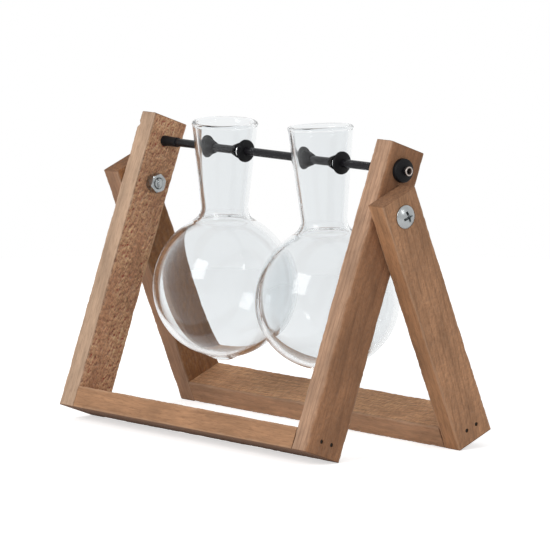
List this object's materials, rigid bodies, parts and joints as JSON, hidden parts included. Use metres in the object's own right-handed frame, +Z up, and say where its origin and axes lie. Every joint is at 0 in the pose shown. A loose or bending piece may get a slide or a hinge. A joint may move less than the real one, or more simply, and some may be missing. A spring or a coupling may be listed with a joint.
{
  "type": "propagation vase",
  "caption": "Folding wooden stand with a rod across its top, on which glass bulb vases hang by grommets in their necks and swing.",
  "frame": {"origin": "on the ground, in the middle of the stand's footprint", "axes": "+X along the rod towards the right-hand leg, -Y the front, +Z up"},
  "size_m": [0.2232, 0.1114, 0.1589],
  "materials": {
    "wood": "oiled, partly rough sawn",
    "nail_steel": "dark",
    "zinc_plate": "bright zinc",
    "black_tube": "satin black",
    "rubber": "matte",
    "glass": "clear, blown"
  },
  "bodies": {
    "front_frame": {"front_left_leg": "wood", "front_right_leg": "wood", "front_rail": "wood", "front_nails": "nail_steel", "rod_bushing_left": "rubber", "rod_bushing_right": "rubber", "pivot_screw_left": "zinc_plate", "pivot_screw_right": "zinc_plate", "pivot_nut_left": "zinc_plate", "pivot_nut_right": "zinc_plate"},
    "rear_frame": {"rear_left_leg": "wood", "rear_right_leg": "wood", "rear_rail": "wood", "rear_nails": "nail_steel"},
    "rod": {"hanging_rod": "black_tube"},
    "left_grommets": {"left_vase_grommet_left": "rubber", "left_vase_grommet_right": "rubber"},
    "left_bulb": {"left_vase": "glass"},
    "right_grommets": {"right_vase_grommet_left": "rubber", "right_vase_grommet_right": "rubber"},
    "right_bulb": {"right_vase": "glass"}
  },
  "joints": [
    {"name": "stand_fold", "type": "hinge", "parent": "front_frame", "child": "rear_frame", "pos_m": [0, -0.00217, 0.11943], "axis": [1, 0, 0], "range_deg": [-30.8, 24]},
    {"name": "rod_spin", "type": "hinge", "parent": "front_frame", "child": "rod", "pos_m": [0, 0.00571, 0.14061], "axis": [1, 0, 0], "continuous": true},
    {"name": "left_vase_slide", "type": "slide", "parent": "rod", "child": "left_grommets", "axis": [1, 0, 0], "range_m": [-0.01, 0.003]},
    {"name": "left_vase_swing", "type": "hinge", "parent": "left_grommets", "child": "left_bulb", "pos_m": [-0.0375, 0.00571, 0.14061], "axis": [1, 0, 0], "continuous": true},
    {"name": "right_vase_slide", "type": "slide", "parent": "rod", "child": "right_grommets", "axis": [1, 0, 0], "range_m": [-0.003, 0.0066]},
    {"name": "right_vase_swing", "type": "hinge", "parent": "right_grommets", "child": "right_bulb", "pos_m": [0.0376, 0.00571, 0.14061], "axis": [1, 0, 0], "continuous": true}
  ]
}
